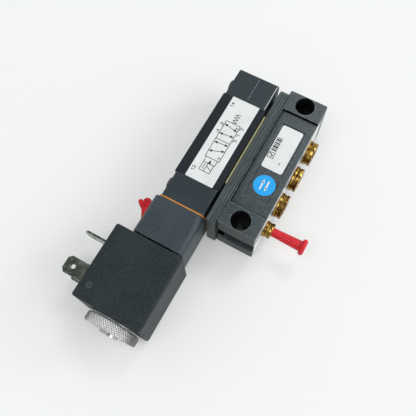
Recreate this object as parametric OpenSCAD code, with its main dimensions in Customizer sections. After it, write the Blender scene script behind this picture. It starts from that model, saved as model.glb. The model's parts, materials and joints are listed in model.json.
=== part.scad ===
// Solenoid-operated 5/2 directional valve: a spool valve with a pilot block and a plug-in coil,
// bolted on its side to a sub-base that carries the push-in tube fittings.
// Millimetres. Z points up out of the face that rests on the panel, Y runs along the spool,
// and the origin is midway between the two mounting holes, on the resting face.

/* [Sub-base] */
// Length of the sub-base along the spool
base_length = 57.6; // [57.2:0.1:58.4]
// Width of the sub-base, from the interface plate to the port face
base_width = 14.6; // [14.4:0.1:15]
// Height of the sub-base above the panel
base_height = 21; // [20.5:0.1:22]
// Distance between the two mounting holes
bolt_spacing = 50; // [49.6:0.1:50.2]
// Diameter of a mounting hole, for an M3 screw
bolt_hole_d = 3.4; // [3.2:0.1:3.6]
// Diameter of the counterbore for the screw's head and washer
bolt_head_d = 7.2; // [7:0.1:7.4]
// Depth of that counterbore
bolt_head_depth = 6.6; // [5:0.1:6.8]
// Depth of the recessed panel between the two end bosses
panel_depth = 0.8; // [0.4:0.1:1]
// Thickness of the interface plate between the valve and the sub-base
plate_thickness = 3.4; // [3.2:0.1:3.6]

/* [Valve] */
// Height of the valve body and its caps
valve_height = 18; // [17.8:0.1:18.6]
// Width of the body across the spool, from its outer side to its gasket
body_width = 17.9; // [17.6:0.1:18.4]
// Width of the two end caps across the spool
cap_width = 16.6; // [16.4:0.1:16.8]
// Length of the body
body_length = 36; // [35.8:0.1:36]
// Length of the spring-side cap
far_cap_length = 11.8; // [11.7:0.1:12]
// Distance between neighbouring valve ports
port_pitch = 5; // [5:0.1:5.1]
// Radius of the spool's lands
spool_radius = 3.8; // [3.7:0.05:3.8]

/* [Pilot] */
// Length of the pilot block
pilot_length = 15; // [15:0.1:15.4]
// Width of the pilot block across the spool
pilot_width = 19.4; // [19.2:0.1:19.8]
// Lift of the solenoid plunger
plunger_lift = 0.75; // [0.4:0.05:0.75]

/* [Coil] */
// Side of the square coil, across the stem
coil_side = 22; // [22:0.1:22.4]
// Length of the coil along the stem
coil_length = 27.4; // [27.3:0.1:27.8]
// Reach of the coil from the stem to its terminal face
terminal_reach = 14.8; // [14.4:0.1:15.4]
// Width of a spade terminal
blade_width = 6.3; // [4.8, 6.3]
// Thickness of a spade terminal
blade_thickness = 0.8; // [0.5, 0.8]
// Distance between the two power terminals
blade_spacing = 11; // [9.4, 11]
// Diameter of the knurled coil nut
nut_d = 19.2; // [18:0.1:20]
// Number of knurls round the coil nut
knurl_count = 110; // [80:1:130]

/* [Tube fittings] */
// Distance between neighbouring large fittings
fitting_pitch = 11.9; // [11.8:0.05:12]
// Diameter of the tubes in the three large fittings
tube_d = 6; // [5.8:0.1:6]
// Diameter of the tube or plug in the small fitting
small_tube_d = 3.2; // [3, 3.2]
// How far a release collet presses in
collet_press = 0.7; // [0.4:0.05:0.7]

/* [Hidden] */
$fn = 64;
eps = 0.01;
fit = 0.05;          // radial clearance of a running fit
label_t = 0.1;       // thickness of a label

// Levels: everything that runs along the spool shares one height.
mid_z = coil_side / 2;
valve_z0 = mid_z - valve_height / 2;
valve_z1 = mid_z + valve_height / 2;

// Places across the spool, from the port face to the outer side of the valve.
port_face = base_width / 2;
plate_right = -base_width / 2;
plate_left = plate_right - plate_thickness;
gasket_t = 0.6;
body_right = plate_left - gasket_t;
body_left = body_right - body_width;
spool_x = body_right - body_width / 2;
cap_left = spool_x - cap_width / 2;
cap_right = spool_x + cap_width / 2;
stem_x = spool_x - 0.75;

// Places along the spool.
base_end = base_length / 2;
stack_y = 2;                                   // middle port of the valve
body_y0 = -19;
body_y1 = body_y0 + body_length;
far_cap_y1 = body_y1 + far_cap_length;
pilot_cap_y0 = body_y0 - 10;
pilot_gasket_t = 0.8;
pilot_y1 = pilot_cap_y0 - pilot_gasket_t;
pilot_y0 = pilot_y1 - pilot_length;
coil_y1 = pilot_y0 - 0.9;
coil_y0 = coil_y1 - coil_length;

// Spool stack: six seals, a port between each pair, and the spool that slides in them.
port_r = 1.5;
stack_r = 5.6;
seal_w = 1.3;
stack_half = 2.5 * port_pitch + seal_w / 2;
shift = port_pitch / 2;                        // travel of the spool
piston_bore_r = 6.4;
piston_y0 = stack_y - 19.4;
piston_y1 = piston_y0 + 2.6;
spool_y1 = stack_y + stack_half + 1.05;
spring_end = spool_y1 + 6.8;

// Cap and pilot screws stand at the corners of the valve section.
corner_dx = 6;
corner_dz = 6.6;
corner_screw_r = 1;
corner_head_r = 1.9;

// Valve mounting screws.
valve_screw_y = [stack_y - 23.3, stack_y + 24];
valve_screw_r = 1.25;
valve_screw_head_r = 2.25;
valve_screw_head_h = 2.5;

// Pilot air: a supply line above the spool's axis and an outlet line below it.
supply_x = spool_x + 6.85;
supply_z = mid_z + 4.2;
outlet_z = mid_z - 4;
supply_y = -13;
air_r = 0.6;

// Solenoid along the stem.
seat_y0 = pilot_y1 - 9;
flange_y1 = pilot_y0 + 3.2;
stem_r = 4.95;
stem_bore_r = 4.3;
plunger_r = stem_bore_r - 0.08;
plunger_y1 = seat_y0 - 0.9;
plunger_y0 = plunger_y1 - 17.3;
core_y1 = plunger_y0 - 0.15 - plunger_lift;
coil_bore_r = stem_r + fit;
nut_y1 = coil_y0 - 0.82;
nut_y0 = nut_y1 - 3.5;
stud_r = 3.4;
winding_r = 8.9;
yoke_half = 9;
yoke_t = 1.6;

// Manual override on the pilot's outer side.
override_y = pilot_y1 - 5;
override_r = 1.6;
pilot_left = stem_x - pilot_width / 2;
pilot_right = stem_x + pilot_width / 2;
pin_x = stem_x - 2.6;

// Terminals on the coil.
terminal_face = stem_x - terminal_reach;
power_y = coil_y0 + 8.3;
ground_y = coil_y1 - 6;
insert_y = (power_y + ground_y) / 2;

// Tube fittings on the port face, described by radius and place along X.
large_y = [stack_y - fitting_pitch, stack_y, stack_y + fitting_pitch];
small_y = -20.1;
cart_r = 4.25;
small_cart_r = 2.7;
bore_floor = port_face - 9.3;
small_floor = port_face - 5.3;

// ---- Shapes shared by the parts ----

module along_x(x0, x1, r, y, z) {
    translate([x0, y, z]) rotate([0, 90, 0]) cylinder(h = x1 - x0, r = r);
}

module along_y(y0, y1, r, x, z) {
    translate([x, y0, z]) rotate([-90, 0, 0]) cylinder(h = y1 - y0, r = r);
}

module along_z(z0, z1, r, x, y) {
    translate([x, y, z0]) cylinder(h = z1 - z0, r = r);
}

module ring_x(x0, x1, outer, inner, y, z) {
    difference() {
        along_x(x0, x1, outer, y, z);
        along_x(x0 - eps, x1 + eps, inner, y, z);
    }
}

module ring_y(y0, y1, outer, inner, x, z) {
    difference() {
        along_y(y0, y1, outer, x, z);
        along_y(y0 - eps, y1 + eps, inner, x, z);
    }
}

module block(low, high) {
    translate(low) cube(high - low);
}

// Straight hole from point p to point q.
module drill(p, q, r) {
    v = q - p;
    translate(p)
        rotate([0, acos(v.z / norm(v)), atan2(v.y, v.x)])
            cylinder(h = norm(v), r = r);
}

module rounded_rectangle(low, high, r) {
    translate([low.x + r, low.y]) square([high.x - low.x - 2 * r, high.y - low.y]);
    translate([low.x, low.y + r]) square([high.x - low.x, high.y - low.y - 2 * r]);
    for (x = [low.x + r, high.x - r], y = [low.y + r, high.y - r])
        translate([x, y]) circle(r = r);
}

// Bar along Y whose long edges are rounded. low and high are its corners.
module bar_y(low, high, r) {
    translate([0, high.y, 0])
        rotate([90, 0, 0])
            linear_extrude(high.y - low.y)
                rounded_rectangle([low.x, low.z], [high.x, high.z], r);
}

// The same bar with its upright edges rounded as well.
module rounded_bar(low, high, r) {
    intersection() {
        bar_y(low, high, r);
        translate([0, 0, low.z])
            linear_extrude(high.z - low.z)
                rounded_rectangle([low.x, low.y], [high.x, high.y], r);
    }
}

// Flat label lying at height z.
module flat_label(low, high, z, r) {
    translate([0, 0, z])
        linear_extrude(label_t)
            rounded_rectangle(low, high, r);
}

// Helical wire along Y from y0 to y1 round the axis at x, z.
module helix_y(y0, y1, radius, wire, turns, x, z) {
    per_turn = 16;
    sides = 6;
    last = turns * per_turn;
    rise = (y1 - y0 - wire) / last;
    points = [
        for (i = [0 : last], j = [0 : sides - 1])
            let (a = 360 * i / per_turn, b = 360 * j / sides, reach = radius + wire / 2 * cos(b))
                [x + reach * cos(a), y0 + wire / 2 + rise * i + wire / 2 * sin(b), z + reach * sin(a)]
    ];
    skin = [
        for (i = [0 : last - 1], j = [0 : sides - 1])
            let (k = (j + 1) % sides)
                [i * sides + j, i * sides + k, (i + 1) * sides + k, (i + 1) * sides + j]
    ];
    start = [[for (j = [sides - 1 : -1 : 0]) j]];
    end = [[for (j = [0 : sides - 1]) last * sides + j]];
    polyhedron(points = points, faces = concat(skin, start, end), convexity = 10);
}

// Socket head screw along X, head towards -X at x0.
module screw_x(x0, x1, head_r, head_h, r, y, z) {
    difference() {
        union() {
            along_x(x0, x0 + head_h, head_r, y, z);
            along_x(x0 + head_h - eps, x1, r, y, z);
        }
        translate([x0 - eps, y, z])
            rotate([0, 90, 0])
                cylinder(h = head_h / 2, r = head_r * 0.52, $fn = 6);
    }
}

// Corner positions of the cap and pilot screws.
module at_corners() {
    for (dx = [-corner_dx, corner_dx], dz = [-corner_dz, corner_dz])
        translate([spool_x + dx, 0, mid_z + dz]) children();
}

// ---- Sub-base and interface plate ----

groove_top = mid_z + 2.2;
groove_floor = mid_z - 4.4;
groove_lip = mid_z - 5.5;
groove_depth = 1.6;
pocket_low = [plate_right - eps, -base_end + 0.6, mid_z - 8.5];
pocket_high = [plate_right + 2.6, -base_end + 4, mid_z + 1];
gallery_x = plate_right + 1.3;
gallery_z = mid_z - 4;
gallery_r = 1.2;
slant_x = bore_floor + 1.5;
plate_screw_y = [-27, 24.5];
plate_screw_z = mid_z + 6;
plate_screw_reach = 3;       // depth of the plate's screws in the sub-base
panel_x = plate_right + 0.65;
panel_half = 20.6;           // half the length of the recessed panel
panel_floor = base_height - panel_depth - 0.3;
tray_low = [-4, -15.4];      // corners of the shallow tray in the panel, under the stickers
tray_high = [5.2, 15.6];
seam_w = 0.35;
seam_floor = base_height - panel_depth - 0.6;

// Wedge-shaped groove across the near end of the sub-base.
module end_groove() {
    translate([plate_right - 1, 0, 0])
        rotate([90, 0, 90])
            linear_extrude(base_width + 2)
                polygon([
                    [-base_end - 1, groove_top + 0.6],
                    [-base_end, groove_top],
                    [-base_end + groove_depth, groove_floor],
                    [-base_end, groove_lip],
                    [-base_end - 1, groove_lip]
                ]);
}

// Fine grooves round the panel and along the tray.
module panel_seams() {
    block([panel_x, -panel_half, seam_floor], [panel_x + seam_w, panel_half, base_height]);
    block([tray_high.x - seam_w, tray_low.y, seam_floor], [tray_high.x, tray_high.y, base_height]);
    for (y = [-panel_half, panel_half - seam_w])
        block([panel_x, y, seam_floor], [port_face + 1, y + seam_w, base_height]);
}

// Air passages inside the sub-base. One exhaust leaves through the pocket at the near end,
// the other through the far end face.
module base_passages() {
    for (i = [-2 : 2])
        along_x(plate_right - 1, gallery_x + 0.4, port_r, stack_y + i * port_pitch, mid_z);
    along_x(gallery_x, bore_floor + 1, port_r, stack_y, mid_z);
    for (side = [-1, 1]) {
        drill(
            [gallery_x - 0.5, stack_y + side * port_pitch, mid_z],
            [slant_x, stack_y + side * fitting_pitch, mid_z],
            1.3
        );
        along_z(gallery_z, mid_z, gallery_r, gallery_x, stack_y + side * 2 * port_pitch);
    }
    along_y(-base_end + 2, stack_y - 2 * port_pitch, gallery_r, gallery_x, gallery_z);
    along_y(stack_y + 2 * port_pitch, base_end + 1, gallery_r, gallery_x, gallery_z);
    drill([small_floor - 1.8, small_y, mid_z], [plate_right - eps, supply_y, supply_z], air_r);
}

module sub_base() {
    color("#465055")
        difference() {
            rounded_bar([plate_right, -base_end, 0], [port_face, base_end, base_height], 0.5);
            block(
                [panel_x, -panel_half, base_height - panel_depth],
                [port_face + 1, panel_half, base_height + 1]
            );
            block([tray_low.x, tray_low.y, panel_floor], [tray_high.x, tray_high.y, base_height]);
            panel_seams();
            end_groove();
            block(pocket_low, pocket_high);
            for (y = [-bolt_spacing / 2, bolt_spacing / 2]) {
                along_z(-1, base_height + 1, bolt_hole_d / 2, 0, y);
                along_z(base_height - bolt_head_depth, base_height + 1, bolt_head_d / 2, 0, y);
            }
            for (y = large_y) {
                along_x(bore_floor, port_face + 1, cart_r, y, mid_z);
                along_x(bore_floor - 2, bore_floor + 1, 2.6, y, mid_z);
            }
            along_x(small_floor, port_face + 1, small_cart_r, small_y, mid_z);
            along_x(small_floor - 2, small_floor + 1, small_tube_d / 2 + 0.15, small_y, mid_z);
            base_passages();
            for (i = [-2 : 2])
                along_x(plate_right - 1, plate_right + 0.5, 2.2, stack_y + i * port_pitch, mid_z);
            along_x(plate_right - 1, plate_right + 0.5, 1.2, supply_y, supply_z);
            for (y = valve_screw_y)
                along_x(plate_right - 1, plate_right + 2.5, valve_screw_r, y, mid_z);
            for (y = plate_screw_y)
                along_x(plate_right - 1, plate_right + plate_screw_reach, 1.25, y, plate_screw_z);
        }
}

module interface_plate() {
    near = -base_end - 1.3;
    far = base_end - 1;
    color("#4b5350")
        difference() {
            block([plate_left, near, 0], [plate_right, far, base_height]);
            // Chamfered corners: the lower one at the near end and the upper one at the far end.
            for (corner = [[near, 0], [far, base_height]])
                translate([plate_left - 1, corner.x, corner.y])
                    rotate([45, 0, 0])
                        translate([0, -1, -1]) cube([plate_thickness + 2, 2, 2]);
            // Two lengthwise drawing grooves along the upper edge.
            for (x = [plate_left + 1.2, plate_left + 2.3])
                block([x, near - 1, base_height - 0.25], [x + 0.25, far + 1, base_height + 1]);
            for (i = [-2 : 2])
                along_x(plate_left - 1, plate_right + 1, port_r, stack_y + i * port_pitch, mid_z);
            along_x(plate_left - 1, plate_right + 1, air_r, supply_y, supply_z);
            for (y = valve_screw_y)
                along_x(plate_left - 1, plate_right + 1, valve_screw_r, y, mid_z);
            for (y = plate_screw_y) {
                along_x(plate_left - 1, plate_right + 1, 1.25, y, plate_screw_z);
                translate([plate_left, y, plate_screw_z])
                    rotate([0, 90, 0]) cylinder(h = 1.4, r1 = 2.6, r2 = 1.25);
            }
        }
}

module plate_seals() {
    color("#1b1b1b") {
        for (i = [-2 : 2])
            ring_x(plate_right, plate_right + 0.5, 2.2, port_r, stack_y + i * port_pitch, mid_z);
        ring_x(plate_right, plate_right + 0.5, 1.2, air_r, supply_y, supply_z);
    }
}

module plate_screws() {
    color("#8f9396")
        for (y = plate_screw_y)
            difference() {
                union() {
                    translate([plate_left, y, plate_screw_z])
                        rotate([0, 90, 0]) cylinder(h = 1.4, r1 = 2.6, r2 = 1.25);
                    along_x(plate_left + 1.4 - eps, plate_right + plate_screw_reach, 1.25, y, plate_screw_z);
                }
                translate([plate_left - eps, y, plate_screw_z])
                    rotate([0, 90, 0]) cylinder(h = 1, r = 0.9, $fn = 6);
            }
}

module port_label() {
    color("#e8ecec")
        difference() {
            block([port_face, -28.3, 2.5], [port_face + label_t, 23.6, 18.5]);
            for (y = large_y)
                along_x(port_face - 1, port_face + 1, 4.8, y, mid_z);
            along_x(port_face - 1, port_face + 1, 3.1, small_y, mid_z);
        }
}

module test_sticker() {
    color("#e8ecec")
        flat_label([-3.6, -3.2], [4.4, 15.1], panel_floor, 0.8);
}

module emblem() {
    color("#16a6e6") along_z(panel_floor, panel_floor + label_t, 3.9, 1, -9.4);
}

// ---- Spool valve ----

module valve_gasket() {
    color("#d7d28c")
        difference() {
            block([body_right, -14.9, valve_z0 + 0.2], [plate_left, 14.9, valve_z1 - 0.05]);
            for (i = [-2 : 2])
                along_x(body_right - 1, plate_left + 1, port_r, stack_y + i * port_pitch, mid_z);
            along_x(body_right - 1, plate_left + 1, air_r, supply_y, supply_z);
        }
}

module valve_body() {
    color("#26302f")
        difference() {
            bar_y([body_left, body_y0, valve_z0], [body_right, body_y1, valve_z1], 0.8);
            along_y(stack_y - stack_half, body_y1 + 1, stack_r, spool_x, mid_z);
            along_y(body_y0 - 1, stack_y - stack_half + 1, 4.3, spool_x, mid_z);
            along_y(body_y0 - 1, stack_y - stack_half - 0.6, piston_bore_r, spool_x, mid_z);
            along_y(body_y1 - 0.6, body_y1 + 1, stack_r + 1, spool_x, mid_z);
            along_y(body_y0 - 1, body_y0 + 0.6, piston_bore_r + 0.8, spool_x, mid_z);
            for (i = [-2 : 2])
                along_x(spool_x, body_right + 1, port_r, stack_y + i * port_pitch, mid_z);
            along_x(supply_x - air_r, body_right + 1, air_r, supply_y, supply_z);
            along_y(body_y0 - 1, supply_y, air_r, supply_x, supply_z);
            at_corners() {
                along_y(body_y0 - 1, body_y0 + 5, corner_screw_r, 0, 0);
                along_y(body_y1 - 5, body_y1 + 1, corner_screw_r, 0, 0);
            }
        }
}

module far_end_cap() {
    color("#323c41")
        difference() {
            union() {
                intersection() {
                    bar_y([cap_left, body_y1, valve_z0], [cap_right, far_cap_y1, valve_z1], 0.6);
                    translate([0, 0, valve_z0])
                        linear_extrude(valve_height)
                            rounded_rectangle([cap_left, body_y1 - 2], [cap_right, far_cap_y1], 0.5);
                }
                along_y(stack_y + stack_half, body_y1 + 1, stack_r, spool_x, mid_z);
            }
            along_y(body_y1 - 5, spool_y1 + shift + 0.5, 4.1, spool_x, mid_z);
            along_y(body_y1 - 5, spring_end, 3.2, spool_x, mid_z);
            along_x(cap_left - 1, cap_right + 1, valve_screw_r + 0.1, valve_screw_y[1], mid_z);
            at_corners() {
                along_y(body_y1 - 1, far_cap_y1 + 1, corner_screw_r, 0, 0);
                along_y(far_cap_y1 - 2, far_cap_y1 + 1, corner_head_r, 0, 0);
            }
        }
}

module pilot_end_cap() {
    color("#323c41")
        difference() {
            bar_y([cap_left, pilot_cap_y0, valve_z0], [cap_right, body_y0, valve_z1], 0.6);
            along_x(cap_left - 1, cap_right + 1, valve_screw_r + 0.1, valve_screw_y[0], mid_z);
            along_y(pilot_cap_y0 - 1, body_y0 + 1, air_r, spool_x, outlet_z);
            along_y(pilot_cap_y0 - 1, body_y0 + 1, air_r, supply_x, supply_z);
            at_corners() along_y(pilot_cap_y0 - 1, body_y0 + 1, corner_screw_r, 0, 0);
        }
}

module cap_seals() {
    color("#1b1b1b") {
        ring_y(body_y1 - 0.6, body_y1, stack_r + 1, stack_r, spool_x, mid_z);
        ring_y(body_y0, body_y0 + 0.6, piston_bore_r + 0.8, piston_bore_r, spool_x, mid_z);
    }
}

// Four screws along Y whose heads face towards side (1 or -1) at head_y.
module corner_screws(head_y, end_y, side) {
    neck_y = head_y - 2 * side;
    at_corners()
        difference() {
            union() {
                along_y(min(head_y, neck_y), max(head_y, neck_y), corner_head_r, 0, 0);
                along_y(min(neck_y, end_y), max(neck_y, end_y), corner_screw_r, 0, 0);
            }
            translate([0, head_y, 0])
                rotate([90, 0, 0]) cylinder(h = 2, r = 0.95, center = true, $fn = 6);
        }
}

module cap_screws() {
    color("#8f9396") corner_screws(far_cap_y1, body_y1 - 5, 1);
}

module pilot_screws() {
    color("#8f9396") corner_screws(pilot_y0, body_y0 + 5, -1);
}

module valve_screws() {
    color("#5b5f60")
        for (y = valve_screw_y)
            screw_x(
                cap_left - valve_screw_head_h, plate_right + 2.5,
                valve_screw_head_r, valve_screw_head_h, valve_screw_r, y, mid_z
            );
}

module schematic_label() {
    color("#e8ecec")
        flat_label([body_right - 13.8, body_y0], [body_right - 3, body_y1], valve_z1, 0.3);
}

module seal_spacers() {
    color("#c9c2ae")
        for (i = [-2 : 2])
            difference() {
                ring_y(
                    stack_y + i * port_pitch - (port_pitch - seal_w) / 2,
                    stack_y + i * port_pitch + (port_pitch - seal_w) / 2,
                    stack_r - 0.02, 4.5, spool_x, mid_z
                );
                along_x(spool_x - stack_r - 1, spool_x + stack_r + 1, 1.2, stack_y + i * port_pitch, mid_z);
                along_z(0, base_height, 1.2, spool_x, stack_y + i * port_pitch);
            }
}

module spool_seals() {
    color("#1b1b1b")
        for (i = [-2.5 : 1 : 2.5])
            ring_y(
                stack_y + i * port_pitch - seal_w / 2,
                stack_y + i * port_pitch + seal_w / 2,
                stack_r, spool_radius + 0.03, spool_x, mid_z
            );
}

// Two waists let air past one seal at rest and past its neighbour after the shift.
module spool() {
    lead = seal_w / 2 + 0.75;
    trail = seal_w / 2 + 0.45;
    color("#b9bcbe")
        difference() {
            along_y(piston_y1, spool_y1, spool_radius, spool_x, mid_z);
            for (i = [-1.5, 0.5])
                ring_y(
                    stack_y + i * port_pitch - lead,
                    stack_y + (i + 1) * port_pitch - trail,
                    spool_radius + 1, 2.4, spool_x, mid_z
                );
        }
}

module pilot_piston() {
    color("#d9d4c3")
        difference() {
            along_y(piston_y0, piston_y1, piston_bore_r - fit, spool_x, mid_z);
            ring_y(piston_y0 + 0.7, piston_y1 - 0.7, piston_bore_r + 1, 5.3, spool_x, mid_z);
        }
}

module piston_seal() {
    color("#1b1b1b")
        ring_y(piston_y0 + 0.7, piston_y1 - 0.7, piston_bore_r - 0.02, 5.3, spool_x, mid_z);
}

module return_spring() {
    color("#a9adb0") helix_y(spool_y1, spring_end, 2.6, 0.5, 5, spool_x, mid_z);
}

// ---- Pilot block ----

module pilot_gasket() {
    color("#c8823c")
        difference() {
            bar_y(
                [cap_left - 0.9, pilot_y1, valve_z0 + 0.1],
                [pilot_right - 0.05, pilot_cap_y0, valve_z1 - 0.1],
                2.4
            );
            along_y(pilot_y1 - 1, pilot_cap_y0 + 1, air_r, spool_x, outlet_z);
            along_y(pilot_y1 - 1, pilot_cap_y0 + 1, air_r, supply_x, supply_z);
            at_corners() along_y(pilot_y1 - 1, pilot_cap_y0 + 1, corner_screw_r, 0, 0);
        }
}

// The supply feeds the seat behind the plunger and, through the override spindle, the outlet.
module pilot_passages() {
    along_y(override_y, pilot_y1 + 1, air_r, supply_x, supply_z);
    along_x(stem_x - 0.5, supply_x, 0.5, override_y, supply_z);
    along_z(outlet_z, supply_z, 0.45, spool_x, override_y);
    along_y(seat_y0 + 0.9, override_y, 0.4, stem_x, supply_z);
    along_z(mid_z, supply_z, 0.45, stem_x, seat_y0 + 1);
    along_y(seat_y0 - 1, pilot_y1 + 1, air_r, spool_x, outlet_z);
}

module pilot_housing() {
    color("#323c41")
        difference() {
            bar_y([pilot_left, pilot_y0, valve_z0], [pilot_right, pilot_y1, valve_z1], 2.5);
            along_y(pilot_y0 - 1, flange_y1 + 0.8, 6.2, stem_x, mid_z);
            along_y(pilot_y0 - 1, seat_y0, 5, stem_x, mid_z);
            along_y(pilot_y0 - 1, seat_y0 + 1.8, 2, stem_x, mid_z);
            along_x(pilot_left - 1, stem_x + 4.5, override_r + fit, override_y, mid_z);
            along_z(valve_z0 - 1, mid_z + 5, 0.5, pin_x, override_y + override_r);
            pilot_passages();
            at_corners() {
                along_y(pilot_y0 - 1, pilot_y1 + 1, corner_screw_r, 0, 0);
                along_y(pilot_y0 - 1, pilot_y0 + 2, corner_head_r, 0, 0);
            }
        }
}

module pilot_seat() {
    color("#b08a3c")
        difference() {
            union() {
                along_y(seat_y0, seat_y0 + 1.8, 2, stem_x, mid_z);
                along_y(seat_y0 - 0.8, seat_y0 + eps, 0.9, stem_x, mid_z);
            }
            along_y(seat_y0 - 1, seat_y0 + 1.3, 0.4, stem_x, mid_z);
            along_z(mid_z, mid_z + 3, 0.5, stem_x, seat_y0 + 1);
        }
}

// Outline of the lever seen from above, as [reach from the block, place along the spindle's Y].
lever_tail = [1.1, -3.2];
lever_waist = [2.2, 0.2];
lever_tip = [4.9, 1.8];
lever_heel = [2.8, 2.9];

module lever_arm(p, p_r, q, q_r) {
    hull() {
        translate([-p.x, p.y]) circle(r = p_r, $fn = 32);
        translate([-q.x, q.y]) circle(r = q_r, $fn = 32);
    }
}

module manual_override() {
    color("#cd2232")
        difference() {
            union() {
                along_x(pilot_left - 0.9, pilot_left - fit, 3.1, override_y, mid_z);
                along_x(pilot_left - 0.9, stem_x + 4.4, override_r, override_y, mid_z);
                translate([pilot_left - fit, override_y, mid_z - 2])
                    linear_extrude(4) {
                        lever_arm(lever_tail, 0.6, lever_waist, 1.2);
                        lever_arm(lever_waist, 1.2, lever_tip, 0.95);
                        lever_arm(lever_waist, 1.2, lever_heel, 1.5);
                        translate([-1.2, -2.6]) square([1.2, 5]);
                    }
            }
            ring_x(pin_x - 0.55, pin_x + 0.55, 3, override_r - 0.55, override_y, mid_z);
            ring_x(pilot_left + 1, pilot_left + 1.8, 3, override_r - 0.5, override_y, mid_z);
            along_y(override_y - 3, override_y + 3, 0.5, spool_x, mid_z);
        }
}

module override_seal() {
    color("#1b1b1b")
        ring_x(
            pilot_left + 1, pilot_left + 1.8,
            override_r + fit - 0.02, override_r - 0.5, override_y, mid_z
        );
}

module override_pin() {
    color("#8f9396") along_z(valve_z0 + 0.3, mid_z + 5, 0.5, pin_x, override_y + override_r);
}

// ---- Solenoid ----

module armature_tube() {
    color("#b5b8ba")
        difference() {
            union() {
                along_y(pilot_y0, flange_y1, 6.2, stem_x, mid_z);
                along_y(coil_y0 - 0.8, flange_y1, stem_r, stem_x, mid_z);
            }
            along_y(coil_y0 - 2, flange_y1 + 1, stem_bore_r, stem_x, mid_z);
        }
}

module tube_flange_seal() {
    color("#1b1b1b") ring_y(flange_y1, flange_y1 + 0.8, 6.2, 5, stem_x, mid_z);
}

module fixed_core() {
    color("#9fa3a6")
        difference() {
            union() {
                along_y(coil_y0 - 0.8, core_y1, stem_bore_r, stem_x, mid_z);
                along_y(nut_y0 - 0.9, coil_y0, stud_r, stem_x, mid_z);
            }
            along_y(nut_y0 - 2, core_y1 + 1, 0.6, stem_x, mid_z);
        }
}

module plunger() {
    color("#9fa3a6")
        difference() {
            along_y(plunger_y0, plunger_y1, plunger_r, stem_x, mid_z);
            ring_y(plunger_y0 - 1, plunger_y0 + 6, 3.3, 2, stem_x, mid_z);
            along_y(plunger_y0 - 1, plunger_y0 + 1, 1.5, stem_x, mid_z);
            along_y(plunger_y1 - 1.5, plunger_y1 + 1, 1.8, stem_x, mid_z);
            for (side = [-1, 1])
                translate([stem_x + side * (plunger_r + 0.6), (plunger_y0 + plunger_y1) / 2, mid_z])
                    cube([2, plunger_y1 - plunger_y0 + 2, 2], center = true);
        }
}

module plunger_seals() {
    color("#1b1b1b") {
        along_y(plunger_y0 - 0.1, plunger_y0 + 1, 1.5, stem_x, mid_z);
        along_y(plunger_y1 - 1.5, plunger_y1 + 0.08, 1.8, stem_x, mid_z);
    }
}

module plunger_spring() {
    color("#a9adb0") helix_y(core_y1, plunger_y0 + 6, 2.65, 0.5, 5, stem_x, mid_z);
}

module coil_seal() {
    color("#1b1b1b") ring_y(coil_y1 + 0.02, pilot_y0, 7.6, coil_bore_r + 0.05, stem_x, mid_z);
}

// Steel frame round the winding: two end plates and one side plate.
module yoke_shape() {
    for (y = [coil_y0 + 1.1, coil_y1 - 1.1 - yoke_t])
        block(
            [stem_x - yoke_half, y, mid_z - yoke_half],
            [stem_x + yoke_half + 1, y + yoke_t, mid_z + yoke_half]
        );
    block(
        [stem_x + yoke_half, coil_y0 + 1.1, mid_z - yoke_half],
        [stem_x + yoke_half + 1, coil_y1 - 1.1, mid_z + yoke_half]
    );
}

winding_y0 = coil_y0 + 1.1 + yoke_t;
winding_y1 = coil_y1 - 1.1 - yoke_t;

// Spade terminal: a flat blade along -X with chamfered corners and a detent hole.
module blade(reach) {
    root = 3.3;
    half = blade_width / 2;
    tip = 1.2;
    linear_extrude(blade_thickness, center = true)
        difference() {
            polygon([
                [root, -half], [root, half], [-reach + tip, half],
                [-reach, half - tip], [-reach, -half + tip], [-reach + tip, -half]
            ]);
            translate([-reach + 3.2, 0]) circle(r = 0.8);
        }
}

module power_blades() {
    for (dz = [-blade_spacing / 2, blade_spacing / 2])
        translate([terminal_face, power_y, mid_z + dz]) blade(9.4);
}

module ground_blade() {
    translate([terminal_face, ground_y, mid_z]) rotate([90, 0, 0]) blade(10.8);
}

module coil_housing() {
    color("#20282b")
        difference() {
            rounded_bar([terminal_face, coil_y0, 0], [stem_x + coil_side / 2, coil_y1, coil_side], 0.9);
            along_y(coil_y0 - 1, coil_y1 + 1, coil_bore_r, stem_x, mid_z);
            along_y(winding_y0, winding_y1, winding_r, stem_x, mid_z);
            yoke_shape();
            power_blades();
            ground_blade();
            along_x(terminal_face - 1, terminal_face + 4.8, 2.1, insert_y, mid_z);
        }
}

module coil_bobbin() {
    color("#c9c2ae")
        difference() {
            along_y(winding_y0, winding_y1, winding_r, stem_x, mid_z);
            ring_y(winding_y0 + 0.9, winding_y1 - 0.9, winding_r + 1, coil_bore_r + 0.8, stem_x, mid_z);
            along_y(winding_y0 - 1, winding_y1 + 1, coil_bore_r, stem_x, mid_z);
        }
}

module coil_winding() {
    color("#b4642d")
        ring_y(winding_y0 + 0.9, winding_y1 - 0.9, winding_r, coil_bore_r + 0.8, stem_x, mid_z);
}

module magnet_yoke() {
    color("#8f9396")
        difference() {
            yoke_shape();
            along_y(coil_y0 - 1, coil_y1 + 1, coil_bore_r, stem_x, mid_z);
        }
}

module power_terminals() {
    color("#8b9088") power_blades();
}

module ground_terminal() {
    color("#8b9088") ground_blade();
}

module connector_insert() {
    color("#b08a3c")
        ring_x(terminal_face, terminal_face + 4.8, 2.1, 1.25, insert_y, mid_z);
}

module nut_washer() {
    color("#b5b8ba") ring_y(coil_y0 - 0.8, coil_y0 - 0.02, 8, coil_bore_r, stem_x, mid_z);
}

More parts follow.
